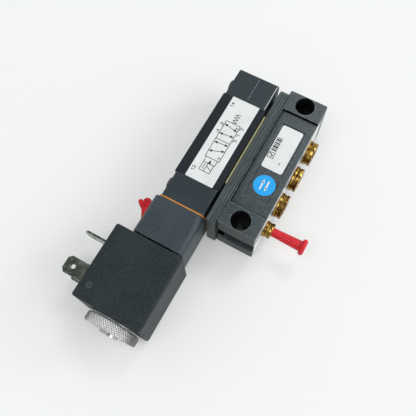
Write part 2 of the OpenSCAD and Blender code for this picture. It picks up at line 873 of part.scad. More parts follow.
// Knurled rim whose two edges are turned down to a chamfer, with a dished outer face.
module coil_nut() {
    chamfer = 0.5;
    thick = nut_y1 - nut_y0;
    color("#d0d3d5")
        translate([stem_x, nut_y1, mid_z])
            rotate([90, 0, 0])
                difference() {
                    intersection() {
                        linear_extrude(thick)
                            polygon([
                                for (i = [0 : 2 * knurl_count - 1])
                                    let (a = 180 * i / knurl_count, r = nut_d / 2 - 0.2 * (i % 2))
                                        [r * cos(a), r * sin(a)]
                            ]);
                        rotate_extrude()
                            polygon([
                                [0, 0],
                                [nut_d / 2 - chamfer, 0],
                                [nut_d / 2 + eps, chamfer + eps],
                                [nut_d / 2 + eps, thick - chamfer - eps],
                                [nut_d / 2 - chamfer, thick],
                                [0, thick]
                            ]);
                    }
                    translate([0, 0, thick - 0.6])
                        difference() {
                            cylinder(h = 1, r = nut_d / 2 - 2);
                            translate([0, 0, -1]) cylinder(h = 3, r = stud_r + 1.6);
                        }
                    translate([0, 0, -1]) cylinder(h = thick + 2, r = stud_r + fit);
                }
}

// ---- Push-in fittings ----

flange_x = port_face + 1.2;
neck_floor = port_face + 0.3;                  // floor of the recess that takes a collet's neck
neck_x = neck_floor + collet_press + 0.1;
thumb_x = flange_x + collet_press + 0.1;

// Cartridge pressed into the port face: bore for the collet, recess for its neck, grip ring groove
// and tube stop.
module cartridge(y, floor_x, outer, flange, neck, inner, ring_r, ring_x0, ring_x1, stop_x, tube_r) {
    difference() {
        union() {
            along_x(floor_x, port_face + eps, outer, y, mid_z);
            along_x(port_face, flange_x, flange, y, mid_z);
        }
        along_x(neck_floor, flange_x + 1, neck + fit, y, mid_z);
        along_x(floor_x - 1, port_face + 3, tube_r + 0.05, y, mid_z);
        along_x(stop_x, port_face + 3, inner, y, mid_z);
        along_x(ring_x0, ring_x1, ring_r, y, mid_z);
    }
}

// Release collet: a sleeve inside the cartridge, a neck at its mouth and a thumb ring outside it.
module collet(y, sleeve_x, sleeve_r, neck_r, head_r, bore_r) {
    difference() {
        union() {
            along_x(sleeve_x, port_face + 3, sleeve_r, y, mid_z);
            along_x(neck_x, port_face + 3, neck_r, y, mid_z);
            along_x(thumb_x, port_face + 3.1, head_r, y, mid_z);
        }
        along_x(sleeve_x - 1, port_face + 4, bore_r, y, mid_z);
    }
}

collet_bore_r = tube_d / 2 + fit;
collet_r = 3.6;
neck_r = 4.3;
grip_x = bore_floor + 3;
sleeve_x = grip_x + 0.9 + collet_press;
small_collet_bore_r = small_tube_d / 2 + fit;
small_collet_r = 2.1;
small_neck_r = 2.65;
small_grip_x = small_floor + 1.3;
small_sleeve_x = small_grip_x + 0.6 + collet_press;

module port_cartridges() {
    color("#b08a3c")
        for (y = large_y)
            cartridge(
                y, bore_floor, cart_r, 4.65, neck_r, collet_r + fit, 3.95,
                grip_x, grip_x + 0.8, bore_floor + 1.4, tube_d / 2
            );
}

module grip_rings() {
    color("#b5b8ba")
        for (y = large_y)
            ring_x(grip_x + 0.2, grip_x + 0.6, 3.95, collet_bore_r, y, mid_z);
}

module tube_seals() {
    color("#1b1b1b")
        for (y = large_y)
            ring_x(bore_floor + 1.4, grip_x - 0.1, collet_r + fit, collet_bore_r, y, mid_z);
}

module large_collet(y) {
    color("#b8902f") collet(y, sleeve_x, collet_r, neck_r, 4.5, collet_bore_r);
}

module collet_1() {
    large_collet(large_y[0]);
}

module collet_2() {
    large_collet(large_y[1]);
}

module collet_3() {
    large_collet(large_y[2]);
}

module small_cartridge() {
    color("#b08a3c")
        cartridge(
            small_y, small_floor, small_cart_r, 2.95, small_neck_r, small_collet_r + fit, 2.35,
            small_grip_x, small_grip_x + 0.5, small_floor + 0.4, small_tube_d / 2
        );
}

module small_grip_ring() {
    color("#b5b8ba")
        ring_x(small_grip_x + 0.1, small_grip_x + 0.4, 2.35, small_collet_bore_r, small_y, mid_z);
}

module small_tube_seal() {
    color("#1b1b1b")
        ring_x(
            small_floor + 0.4, small_grip_x - 0.1,
            small_collet_r + fit, small_tube_d / 2 + 0.03, small_y, mid_z
        );
}

module small_collet() {
    color("#b8902f")
        collet(small_y, small_sleeve_x, small_collet_r, small_neck_r, 2.85, small_collet_bore_r);
}

plug_x0 = small_floor - 1.4;
plug_neck = port_face + 3.4;
plug_x1 = port_face + 13.9;
plug_head_r = 3;
plug_head_t = 1.9;

// Plug with a straight stem inside the fitting, a slightly flared shank and a head with a round rim.
module blanking_plug() {
    color("#cd2232")
        translate([0, small_y, mid_z])
            rotate([0, 90, 0])
                rotate_extrude() {
                    polygon([
                        [0, plug_x0],
                        [small_tube_d / 2, plug_x0],
                        [small_tube_d / 2, plug_neck],
                        [small_tube_d / 2 + 0.35, plug_x1 + eps],
                        [0, plug_x1 + eps]
                    ]);
                    translate([0, plug_x1]) square([plug_head_r - plug_head_t / 2, plug_head_t]);
                    intersection() {
                        translate([plug_head_r - plug_head_t / 2, plug_x1 + plug_head_t / 2])
                            circle(r = plug_head_t / 2);
                        translate([0, plug_x1]) square([plug_head_r + 1, plug_head_t]);
                    }
                }
}

sub_base();
interface_plate();
plate_seals();
plate_screws();
port_label();
test_sticker();
emblem();
valve_gasket();
valve_body();
far_end_cap();
pilot_end_cap();
cap_seals();
cap_screws();
pilot_screws();
valve_screws();
schematic_label();
seal_spacers();
spool_seals();
spool();
pilot_piston();
piston_seal();
return_spring();
pilot_gasket();
pilot_housing();
pilot_seat();
manual_override();
override_seal();
override_pin();
armature_tube();
tube_flange_seal();
fixed_core();
plunger();
plunger_seals();
plunger_spring();
coil_seal();
coil_housing();
coil_bobbin();
coil_winding();
magnet_yoke();
power_terminals();
ground_terminal();
connector_insert();
nut_washer();
coil_nut();
port_cartridges();
grip_rings();
tube_seals();
collet_1();
collet_2();
collet_3();
small_cartridge();
small_grip_ring();
small_tube_seal();
small_collet();
blanking_plug();
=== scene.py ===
"""Looks of a solenoid directional valve: materials, softened edges, printed labels, light and camera.

Everything is in the row frame: Z up out of the resting face, Y along the spool, X towards the fittings.
Sizes in the script are millimetres, turned into metres by MM.
"""

import json
import math

import bmesh
import bpy
from mathutils import Matrix, Vector


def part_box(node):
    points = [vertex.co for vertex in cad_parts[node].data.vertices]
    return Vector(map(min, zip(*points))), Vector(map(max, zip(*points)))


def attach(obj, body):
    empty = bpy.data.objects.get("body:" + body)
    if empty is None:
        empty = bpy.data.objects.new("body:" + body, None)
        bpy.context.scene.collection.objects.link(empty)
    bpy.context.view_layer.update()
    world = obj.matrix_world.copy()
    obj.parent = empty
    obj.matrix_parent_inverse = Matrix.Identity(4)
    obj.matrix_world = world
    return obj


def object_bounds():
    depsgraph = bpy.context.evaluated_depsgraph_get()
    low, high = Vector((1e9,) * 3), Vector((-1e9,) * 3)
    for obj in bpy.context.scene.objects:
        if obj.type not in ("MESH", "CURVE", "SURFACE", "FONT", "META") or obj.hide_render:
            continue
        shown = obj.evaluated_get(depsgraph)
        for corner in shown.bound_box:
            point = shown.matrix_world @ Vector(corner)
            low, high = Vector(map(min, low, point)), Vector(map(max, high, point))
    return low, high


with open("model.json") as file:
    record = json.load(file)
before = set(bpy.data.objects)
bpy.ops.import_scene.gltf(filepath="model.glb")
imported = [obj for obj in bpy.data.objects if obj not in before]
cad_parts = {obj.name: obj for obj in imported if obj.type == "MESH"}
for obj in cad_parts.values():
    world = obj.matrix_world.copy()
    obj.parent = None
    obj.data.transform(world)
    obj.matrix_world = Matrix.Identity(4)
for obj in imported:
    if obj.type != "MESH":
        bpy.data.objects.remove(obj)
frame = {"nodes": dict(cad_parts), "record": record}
cad_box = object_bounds()
nodes = frame["nodes"]
MM = 0.001


# ---- Camera, light and floor ----

CAMERA_PLACE = Vector((21.8, -80.7, 188.3)) * MM
CAMERA_AIM = Vector((-13.8, -23.1, 11.0)) * MM
CAMERA_ROLL = math.radians(2.85)
CAMERA_LENS = 45.9           # on a 36 mm wide sensor
CAMERA_NEAREST = 10 * MM
FLOOR_HALF = 4000 * MM
FLOOR_GAP = 0.02 * MM        # between the floor and the resting face
FLOOR_GLOW = 0.25            # light that the floor gives off itself
# Square softboxes: place and side in millimetres, and power in watts. All look at the camera's aim.
LAMPS = {
    "key": ((180, 1250, 1900), 600, 7.5),
    "fill": ((1400, 100, 1050), 1100, 8.6),
    "near": ((-350, -850, 2050), 1200, 10.0),
    "edge": ((1150, 950, 800), 350, 4.0),
}
TENT = 0.75                  # strength of the white tent
OVERHEAD = 0.17              # strength of the dark patch straight overhead
OVERHEAD_RIM = (0.80, 0.97)  # heights on the unit sphere between which that patch fades in
NEAR_SIDE = 0.44             # share of the tent's light that is left towards -Y
NEAR_RIM = (-0.9, -0.1)      # Y on the unit sphere between which all of it comes back
HORIZON_RIM = (0.12, 0.30)   # heights between which that dimming sets in
TENT_TINT = (0.985, 1.0, 0.997, 1.0)


def aimed(place, aim):
    """Matrix of a camera or lamp at place that looks at aim."""
    return Matrix.Translation(place) @ (aim - place).to_track_quat("-Z", "Y").to_matrix().to_4x4()


def add_camera():
    camera = bpy.data.objects.new("camera", bpy.data.cameras.new("camera"))
    camera.data.lens = CAMERA_LENS
    camera.data.clip_start = CAMERA_NEAREST
    camera.matrix_world = aimed(CAMERA_PLACE, CAMERA_AIM) @ Matrix.Rotation(-CAMERA_ROLL, 4, "Z")
    bpy.context.scene.collection.objects.link(camera)
    bpy.context.scene.camera = camera


def add_lamps():
    for name, (place, side, power) in LAMPS.items():
        lamp = bpy.data.objects.new(name, bpy.data.lights.new(name, "AREA"))
        lamp.data.shape = "SQUARE"
        lamp.data.size = side * MM
        lamp.data.energy = power
        lamp.matrix_world = aimed(Vector(place) * MM, CAMERA_AIM)
        bpy.context.scene.collection.objects.link(lamp)


def set_range(node, rim, start, end):
    """Makes a Map Range node turn rim[0] to rim[1] into start to end."""
    for socket, number in zip(("From Min", "From Max", "To Min", "To Max"), (*rim, start, end)):
        node.inputs[socket].default_value = number


def add_world():
    """White tent with a dark patch straight overhead, where the photographer would stand.
    Above the horizon it is dimmer towards -Y."""
    world = bpy.data.worlds.new("studio")
    world.use_nodes = True
    tree = world.node_tree
    place = tree.nodes.new("ShaderNodeTexCoord")
    split = tree.nodes.new("ShaderNodeSeparateXYZ")
    tree.links.new(place.outputs["Generated"], split.inputs[0])
    fades = []
    for axis, rim, start, end in (
        ("Z", OVERHEAD_RIM, TENT, OVERHEAD),
        ("Z", HORIZON_RIM, 1.0, NEAR_SIDE),
        ("Y", NEAR_RIM, 1.0, 1.0),
    ):
        fade = tree.nodes.new("ShaderNodeMapRange")
        fade.interpolation_type = "SMOOTHSTEP"
        tree.links.new(split.outputs[axis], fade.inputs["Value"])
        set_range(fade, rim, start, end)
        fades.append(fade)
    # The horizon's fade sets how dim the near side is.
    tent, horizon, near = fades
    tree.links.new(horizon.outputs["Result"], near.inputs["To Min"])
    strength = tree.nodes.new("ShaderNodeMath")
    strength.operation = "MULTIPLY"
    tree.links.new(tent.outputs["Result"], strength.inputs[0])
    tree.links.new(near.outputs["Result"], strength.inputs[1])
    background = tree.nodes["Background"]
    background.inputs["Color"].default_value = TENT_TINT
    tree.links.new(strength.outputs[0], background.inputs["Strength"])
    bpy.context.scene.world = world
    bpy.context.scene.view_settings.view_transform = "Standard"


# ---- Materials ----

def box_centre(node):
    """Centre of a node's box, in millimetres."""
    low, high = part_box(node)
    return (low + high) / (2 * MM)


class Paint:
    """A Principled material whose procedural nodes are added by short calls. Lengths are millimetres."""

    def __init__(self, name, **sockets):
        self.material = bpy.data.materials.new(name)
        self.material.use_nodes = True
        self.tree = self.material.node_tree
        self.shader = self.tree.nodes["Principled BSDF"]
        self.place = self.add("ShaderNodeTexCoord").outputs["Object"]
        for socket, value in sockets.items():
            self.shader.inputs[socket.replace("_", " ")].default_value = value

    def add(self, kind, **settings):
        node = self.tree.nodes.new(kind)
        for key, value in settings.items():
            setattr(node, key, value)
        return node

    def feed(self, socket, value):
        """value is another node's output, a number or a colour."""
        if isinstance(value, bpy.types.NodeSocket):
            self.tree.links.new(value, socket)
        else:
            socket.default_value = value

    def math(self, operation, a, b=0.0):
        node = self.add("ShaderNodeMath", operation=operation)
        self.feed(node.inputs[0], a)
        self.feed(node.inputs[1], b)
        return node.outputs[0]

    def stretched(self, x, y, z):
        """The place on the object, scaled along each axis, in millimetres."""
        node = self.add("ShaderNodeVectorMath", operation="MULTIPLY")
        self.feed(node.inputs[0], self.place)
        node.inputs[1].default_value = (x / MM, y / MM, z / MM)
        return node.outputs[0]

    def noise(self, size, stretch=(1, 1, 1), detail=3.0, roughness=0.55):
        """Cloudy noise, 0 to 1, with features about size millimetres across."""
        node = self.add("ShaderNodeTexNoise")
        node.inputs["Scale"].default_value = 1 / size
        node.inputs["Detail"].default_value = detail
        node.inputs["Roughness"].default_value = roughness
        self.feed(node.inputs["Vector"], self.stretched(*stretch))
        return node.outputs["Fac"]

    def ramp(self, value, low, high, start=0.0, end=1.0):
        """value from low to high becomes start to end."""
        node = self.add("ShaderNodeMapRange", interpolation_type="SMOOTHSTEP")
        self.feed(node.inputs["Value"], value)
        set_range(node, (low, high), start, end)
        return node.outputs["Result"]

    def mix(self, share, a, b):
        node = self.add("ShaderNodeMix", data_type="RGBA")
        self.feed(node.inputs["Factor"], share)
        for socket, value in ((node.inputs[6], a), (node.inputs[7], b)):
            self.feed(socket, value if isinstance(value, bpy.types.NodeSocket) else (*value, 1.0))
        return node.outputs[2]

    def edges(self, radius):
        """1 along convex and concave edges, 0 on flat faces."""
        rounded = self.add("ShaderNodeBevel", samples=6)
        rounded.inputs["Radius"].default_value = radius * MM
        flat = self.add("ShaderNodeNewGeometry").outputs["True Normal"]
        dot = self.add("ShaderNodeVectorMath", operation="DOT_PRODUCT")
        self.feed(dot.inputs[0], rounded.outputs["Normal"])
        self.feed(dot.inputs[1], flat)
        return self.ramp(dot.outputs["Value"], 0.995, 0.88)

    def openness(self, reach):
        """1 on open faces, towards 0 in recesses narrower than reach."""
        node = self.add("ShaderNodeAmbientOcclusion", samples=8, only_local=True)
        node.inputs["Distance"].default_value = reach * MM
        return node.outputs["AO"]

    def ends(self):
        """1 on faces that look along Y, either way."""
        node = self.add("ShaderNodeSeparateXYZ")
        self.feed(node.inputs[0], self.add("ShaderNodeNewGeometry").outputs["True Normal"])
        return self.ramp(self.math("ABSOLUTE", node.outputs["Y"]), 0.75, 0.95)

    def axis(self, name):
        node = self.add("ShaderNodeSeparateXYZ")
        self.feed(node.inputs[0], self.stretched(1, 1, 1))
        return node.outputs[name]

    def color(self, value):
        self.feed(self.shader.inputs["Base Color"], value)

    def rough(self, value):
        self.feed(self.shader.inputs["Roughness"], value)

    def bump(self, height, depth, strength=1.0):
        """Adds relief of about depth millimetres. Calls stack up."""
        node = self.add("ShaderNodeBump")
        node.inputs["Strength"].default_value = strength
        node.inputs["Distance"].default_value = depth * MM
        self.feed(node.inputs["Height"], height)
        before = self.shader.inputs["Normal"].links
        if before:
            self.feed(node.inputs["Normal"], before[0].from_socket)
        self.feed(self.shader.inputs["Normal"], node.outputs["Normal"])


# Colour of the painted shade in recesses and on end faces.
SHADE_COLOUR = (0.002, 0.003, 0.003)


def moulding(
    name, dark, light, wear_and_highlight, grain=0.4, relief=0.03, rough=(0.42, 0.6), gloss=0.35, ejector=None, painted_shade=False
):
    """Dark moulded plastic: fine spark texture, faint flow clouds, a few rubbed specks and paler edges, which
    are partly edge wear and partly a painted highlight.
    ejector is the X and Y of a round mark left by an ejector pin. painted_shade adds painted shade in
    recesses and on end faces."""
    paint = Paint(name, Specular_IOR_Level=gloss)
    clouds = paint.noise(9, detail=4)
    pits = paint.noise(grain, detail=2)
    # Paler edges: partly rubbed wear, partly a painted highlight along the edges.
    worn_and_lit_edges = paint.math("MULTIPLY", paint.ramp(paint.noise(1.6), 0.30, 0.62), paint.edges(0.4))
    specks = paint.ramp(paint.noise(0.5, detail=1), 0.74, 0.80)
    body = paint.mix(paint.ramp(clouds, 0.3, 0.7), dark, light)
    body = paint.mix(paint.ramp(pits, 0.38, 0.68, 0.0, 0.8), body, [c * 2.0 for c in light])
    body = paint.mix(paint.math("MAXIMUM", worn_and_lit_edges, paint.math("MULTIPLY", specks, 0.35)), body, wear_and_highlight)
    if ejector:
        reach = [paint.math("SUBTRACT", paint.axis(name), middle) for name, middle in zip("XY", ejector)]
        reach = paint.math("SQRT", paint.math("ADD", *(paint.math("MULTIPLY", r, r) for r in reach)))
        ring = paint.math("MULTIPLY", paint.ramp(reach, 0.3, 0.9, 0.35, 1.0), paint.ramp(reach, 1.25, 1.0))
        body = paint.mix(paint.math("MULTIPLY", ring, 0.42), body, wear_and_highlight)
        paint.bump(paint.ramp(reach, 0.9, 1.1), 0.05)
    if painted_shade:
        # Painted shade: darker in recesses found by ambient occlusion, and on faces that look along Y.
        recess_shade = paint.ramp(paint.openness(6), 0.62, 0.97, 0.95, 0.0)
        shade_share = paint.math("MAXIMUM", recess_shade, paint.math("MULTIPLY", paint.ends(), 0.75))
        body = paint.mix(shade_share, body, SHADE_COLOUR)
        paint.feed(paint.shader.inputs["Specular IOR Level"], paint.ramp(shade_share, 0.0, 1.0, gloss, gloss * 0.4))
    paint.color(body)
    grading = paint.math("ADD", paint.math("MULTIPLY", pits, 0.6), paint.math("MULTIPLY", clouds, 0.4))
    paint.rough(paint.ramp(grading, 0.3, 0.7, *rough))
    paint.bump(pits, relief)
    paint.bump(paint.noise(5), 0.03, 0.4)
    return paint.material


def drawn_metal(name, dark, light, along=(1, 0.03, 1), metallic=0.75, rough=(0.35, 0.55)):
    """Metal with fine streaks along the axis that is stretched."""
    paint = Paint(name, Metallic=metallic, Specular_IOR_Level=0.35)
    streaks = paint.noise(0.35, along, detail=4, roughness=0.7)
    stains = paint.noise(7, detail=3)
    body = paint.mix(paint.ramp(streaks, 0.3, 0.7), dark, light)
    body = paint.mix(paint.ramp(stains, 0.45, 0.75, 0.0, 0.35), body, [c * 0.6 for c in dark])
    body = paint.mix(paint.math("MULTIPLY", paint.edges(0.3), 0.5), body, [min(1.0, c * 1.9) for c in light])
    paint.color(body)
    paint.rough(paint.ramp(streaks, 0.3, 0.7, *rough))
    paint.bump(streaks, 0.01, 0.7)
    return paint.material


def vinyl(name, light, dark):
    """Printed label: smooth film with a faint tint, tiny lint and a soiled rim."""
    paint = Paint(name, Roughness=0.42, Specular_IOR_Level=0.4)
    soil = paint.ramp(paint.noise(6, detail=5), 0.42, 0.75, 0.0, 0.5)
    soil = paint.math("MAXIMUM", soil, paint.math("MULTIPLY", paint.edges(0.12), 0.6))
    paint.color(paint.mix(soil, light, dark))
    paint.rough(paint.ramp(paint.noise(1.2), 0.3, 0.7, 0.36, 0.5))
    paint.bump(paint.noise(3), 0.02, 0.35)
    return paint.material


def sheet_gasket(name, dark, light, shaded_rims=None):
    """Fibrous sheet packing cut with a knife. shaded_rims names a gasket whose two rims get painted shade,
    where it meets the parts on either side.
    """
    paint = Paint(name, Roughness=0.7, Specular_IOR_Level=0.3)
    fibres = paint.noise(0.25, (1, 0.35, 1), detail=4)
    body = paint.mix(paint.ramp(fibres, 0.25, 0.75), dark, light)
    if shaded_rims:
        off = paint.math("ABSOLUTE", paint.math("SUBTRACT", paint.axis("Y"), box_centre(shaded_rims).y))
        low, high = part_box(shaded_rims)
        half = (high.y - low.y) / 2 / MM
        # Painted shade along both rims, where the gasket meets its neighbours.
        body = paint.mix(paint.ramp(off, half * 0.4, half * 0.75), body, (0.03, 0.022, 0.016))
    paint.color(body)
    paint.rough(paint.ramp(fibres, 0.3, 0.7, 0.6, 0.82))
    paint.bump(fibres, 0.03, 0.8)
    return paint.material


def turned_brass(name, dark, light):
    """Machined brass: rings left by the tool, some of them tarnished brown, and bright worn edges."""
    paint = Paint(name, Metallic=1.0)
    rings = paint.noise(0.34, (1, 0.03, 0.03), detail=2)
    tarnish = paint.math("ADD", rings, paint.math("MULTIPLY", paint.noise(2.4, detail=2), 0.5))
    tarnish = paint.ramp(tarnish, 0.58, 0.84)
    body = paint.mix(tarnish, light, dark)
    body = paint.mix(paint.math("MULTIPLY", paint.edges(0.15), 0.3), body, (0.85, 0.62, 0.18))
    paint.color(body)
    paint.rough(paint.ramp(tarnish, 0.0, 1.0, 0.14, 0.24))
    paint.bump(rings, 0.006, 0.6)
    return paint.material


def red_plastic():
    """Glossy red moulding with soft depth and small scuffs."""
    paint = Paint("red_moulding", Specular_IOR_Level=0.35, Subsurface_Weight=0.12)
    paint.shader.inputs["Subsurface Radius"].default_value = (1.2 * MM, 0.2 * MM, 0.2 * MM)
    clouds = paint.noise(3)
    body = paint.mix(paint.ramp(clouds, 0.3, 0.7), (0.56, 0.008, 0.016), (0.70, 0.016, 0.028))
    body = paint.mix(paint.math("MULTIPLY", paint.edges(0.25), 0.45), body, (0.80, 0.07, 0.08))
    paint.color(body)
    paint.rough(paint.ramp(paint.noise(0.7), 0.35, 0.7, 0.26, 0.44))
    paint.bump(paint.noise(0.9, detail=4), 0.03, 0.5)
    return paint.material


KNURL_START = (8.9, 9.1)     # distances from the axis between which the plain face becomes the rim
KNURL_LINES = 64
KNURL_SLANT = 6.0            # radians of a knurl line per millimetre along the nut


def chrome():
    """Bright plating with fine polishing lines and faint haze, and painted light on the knurled rim."""
    paint = Paint("chrome_plate", Metallic=1.0)
    haze = paint.noise(2.5, detail=4)
    # Diamond knurl: two crossing sets of helical cuts on the rim, drawn as bumps, with painted shade in the
    # cuts.
    x, y, z = (paint.axis(name) for name in "XYZ")
    centre = box_centre("coil_nut")
    x = paint.math("SUBTRACT", x, centre.x)
    z = paint.math("SUBTRACT", z, centre.z)
    turn = paint.math("MULTIPLY", paint.math("ARCTAN2", z, x), KNURL_LINES)
    slant = paint.math("MULTIPLY", y, KNURL_SLANT)
    cuts = paint.math(
        "MAXIMUM",
        paint.math("SINE", paint.math("ADD", turn, slant)),
        paint.math("SINE", paint.math("SUBTRACT", turn, slant))
    )
    radius = paint.math("SQRT", paint.math("ADD", paint.math("MULTIPLY", x, x), paint.math("MULTIPLY", z, z)))
    rim = paint.ramp(radius, *KNURL_START)
    body = paint.mix(paint.ramp(haze, 0.35, 0.75), (0.86, 0.87, 0.87), (0.70, 0.71, 0.71))
    # Painted light on the rim: a painted highlight on top, where it faces up, and painted shade on its sides.
    rim_side_shade = paint.math("MULTIPLY", rim, paint.ramp(z, 7.6, 4.0, 0.0, 0.8))
    body = paint.mix(paint.math("SUBTRACT", rim, rim_side_shade), body, (0.97, 0.98, 0.98))
    body = paint.mix(rim_side_shade, body, (0.10, 0.10, 0.095))
    # Painted shade in the knurl cuts.
    cut_shade = paint.math("MULTIPLY", rim, paint.ramp(cuts, 0.80, 0.96))
    paint.color(paint.mix(cut_shade, body, (0.04, 0.04, 0.04)))
    paint.feed(paint.shader.inputs["Metallic"], paint.ramp(rim, 0.0, 1.0, 1.0, 0.12))
    paint.rough(paint.ramp(haze, 0.3, 0.7, 0.08, 0.2))
    paint.bump(paint.noise(0.12, (0.05, 1, 0.05)), 0.004, 0.5)
    paint.bump(paint.math("MULTIPLY", cuts, rim), 0.12)
    return paint.material


def tinned():
    """Tin plated brass blade: a little green, scratched along its length by a connector."""
    paint = Paint("tinned_brass", Metallic=1.0)
    scratches = paint.noise(0.14, (0.06, 1, 1), detail=3, roughness=0.7)
    bloom = paint.noise(1.8, detail=4)
    body = paint.mix(paint.ramp(bloom, 0.35, 0.7), (0.125, 0.15, 0.12), (0.25, 0.28, 0.24))
    body = paint.mix(paint.ramp(scratches, 0.6, 0.72, 0.0, 0.7), body, (0.62, 0.64, 0.60))
    body = paint.mix(paint.math("MULTIPLY", paint.edges(0.15), 0.5), body, (0.75, 0.76, 0.72))
    paint.color(body)
    paint.rough(paint.ramp(bloom, 0.3, 0.7, 0.15, 0.28))
    paint.bump(scratches, 0.01, 0.6)
    return paint.material


def rubber():
    paint = Paint("seal_rubber", Roughness=0.6, Specular_IOR_Level=0.35)
    dust = paint.noise(0.6, detail=4)
    paint.color(paint.mix(paint.ramp(dust, 0.4, 0.8), (0.012, 0.012, 0.012), (0.05, 0.05, 0.05)))
    paint.rough(paint.ramp(dust, 0.3, 0.7, 0.5, 0.75))
    paint.bump(paint.noise(0.3), 0.01, 0.5)
    return paint.material


def ink(name, solid, thin):
    """Screen printed ink, slightly uneven where it went on thin."""
    paint = Paint(name, Roughness=0.5, Specular_IOR_Level=0.35)
    paint.color(paint.mix(paint.ramp(paint.noise(0.5, detail=4), 0.45, 0.8), solid, thin))
    paint.rough(paint.ramp(paint.noise(0.8), 0.3, 0.7, 0.42, 0.6))
    paint.bump(paint.noise(0.3), 0.005, 0.4)
    return paint.material


def natural_polymer():
    paint = Paint("natural_polymer", Roughness=0.5, Specular_IOR_Level=0.4)
    clouds = paint.noise(2.0)
    paint.color(paint.mix(paint.ramp(clouds, 0.3, 0.7), (0.60, 0.56, 0.44), (0.72, 0.68, 0.57)))
    paint.rough(paint.ramp(clouds, 0.3, 0.7, 0.4, 0.6))
    paint.bump(paint.noise(0.4), 0.01, 0.5)
    return paint.material


def winding():
    """Enamelled wire laid side by side round the bobbin."""
    paint = Paint("copper_wire", Metallic=1.0, Roughness=0.3)
    turns = paint.add("ShaderNodeTexWave", bands_direction="Y")
    turns.inputs["Scale"].default_value = 1.6
    paint.feed(turns.inputs["Vector"], paint.stretched(1, 1, 1))
    paint.color(paint.mix(turns.outputs["Fac"], (0.35, 0.11, 0.03), (0.78, 0.34, 0.14)))
    paint.rough(paint.ramp(paint.noise(0.8), 0.3, 0.7, 0.25, 0.42))
    paint.bump(turns.outputs["Fac"], 0.08)
    return paint.material


def pale_floor():
    """White paper on a light table, which fills the shadows a little."""
    paint = Paint("pale_paper", Roughness=0.85, Specular_IOR_Level=0.2, Emission_Strength=FLOOR_GLOW)
    grain = paint.noise(60, detail=3)
    paint.color(paint.mix(grain, (0.635, 0.65, 0.65), (0.655, 0.665, 0.665)))
    paint.shader.inputs["Emission Color"].default_value = (1.0, 1.0, 0.99, 1.0)
    return paint.material


COIL_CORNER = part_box("coil_housing")[0] / MM
MATERIALS = {
    # The base has painted shade in its recesses and on its end faces.
    "base_moulding": moulding(
        "base_moulding", (0.016, 0.025, 0.030), (0.031, 0.044, 0.050), (0.24, 0.28, 0.29),
        rough=(0.30, 0.44), gloss=0.52, painted_shade=True
    ),
    "cap_moulding": moulding(
        "cap_moulding", (0.005, 0.011, 0.015), (0.012, 0.022, 0.028), (0.20, 0.24, 0.26),
        rough=(0.36, 0.54), gloss=0.42
    ),
    "coil_resin": moulding(
        "coil_resin", (0.003, 0.007, 0.009), (0.009, 0.016, 0.019), (0.08, 0.10, 0.10),
        grain=0.42, relief=0.035, rough=(0.46, 0.62), ejector=(COIL_CORNER.x + 3.6, COIL_CORNER.y + 5.3)
    ),
    "plate_metal": drawn_metal("plate_metal", (0.034, 0.047, 0.050), (0.095, 0.115, 0.118), metallic=0.45),
    "body_anodised": drawn_metal(
        "body_anodised", (0.002, 0.005, 0.010), (0.006, 0.011, 0.019), metallic=0.0, rough=(0.55, 0.7)
    ),
    "plated_steel": drawn_metal(
        "plated_steel", (0.34, 0.35, 0.36), (0.52, 0.53, 0.54), (1, 0.3, 1), metallic=1.0
    ),
    "dark_steel": drawn_metal(
        "dark_steel", (0.05, 0.052, 0.055), (0.14, 0.14, 0.145), (0.2, 1, 1), metallic=0.9
    ),
    "spool_aluminium": drawn_metal(
        "spool_aluminium", (0.52, 0.53, 0.55), (0.68, 0.69, 0.71), (0.05, 1, 0.05), metallic=1.0
    ),
    "stainless": drawn_metal(
        "stainless", (0.42, 0.42, 0.43), (0.58, 0.58, 0.59), (0.05, 1, 0.05), metallic=1.0, rough=(0.2, 0.35)
    ),
    "label_white": vinyl("label_white", (0.76, 0.79, 0.79), (0.62, 0.66, 0.66)),
    "gasket_yellow": sheet_gasket("gasket_yellow", (0.50, 0.46, 0.17), (0.74, 0.70, 0.34)),
    # The orange gasket has painted shade along both rims.
    "gasket_orange": sheet_gasket(
        "gasket_orange", (0.48, 0.18, 0.04), (0.70, 0.31, 0.09), shaded_rims="pilot_gasket"
    ),
    "brass_fitting": turned_brass("brass_fitting", (0.12, 0.056, 0.015), (0.74, 0.49, 0.12)),
    "red_moulding": red_plastic(),
    "chrome_plate": chrome(),
    "tinned_brass": tinned(),
    "seal_rubber": rubber(),
    "natural_polymer": natural_polymer(),
    "copper_wire": winding(),
    "emblem_blue": ink("emblem_blue", (0.010, 0.36, 0.86), (0.03, 0.46, 0.90)),
}
BLACK_INK = ink("black_ink", (0.012, 0.014, 0.020), (0.06, 0.065, 0.075))
WHITE_INK = ink("white_ink", (0.78, 0.83, 0.85), (0.62, 0.70, 0.76))
PILOT_MOULDING = moulding(
    "pilot_moulding", (0.010, 0.019, 0.024), (0.020, 0.034, 0.042), (0.22, 0.26, 0.28),
    rough=(0.36, 0.54), gloss=0.5
)
# Pale plastic drawn over the spring-side cap as painted highlights.
HIGHLIGHT_PLASTIC = ink("highlight_plastic", (0.60, 0.66, 0.70), (0.36, 0.41, 0.45))


def dress_nodes():
    """Every CAD node takes the material of its slot, and the pilot block a paler moulding than the caps."""
    for part in frame["record"]["subparts"]:
        data = nodes[part["node"]].data
        data.materials.clear()
        data.materials.append(
            PILOT_MOULDING if part["node"] == "pilot_housing" else MATERIALS[part["material_slot"]]
        )


# ---- Softened edges on the CAD nodes ----

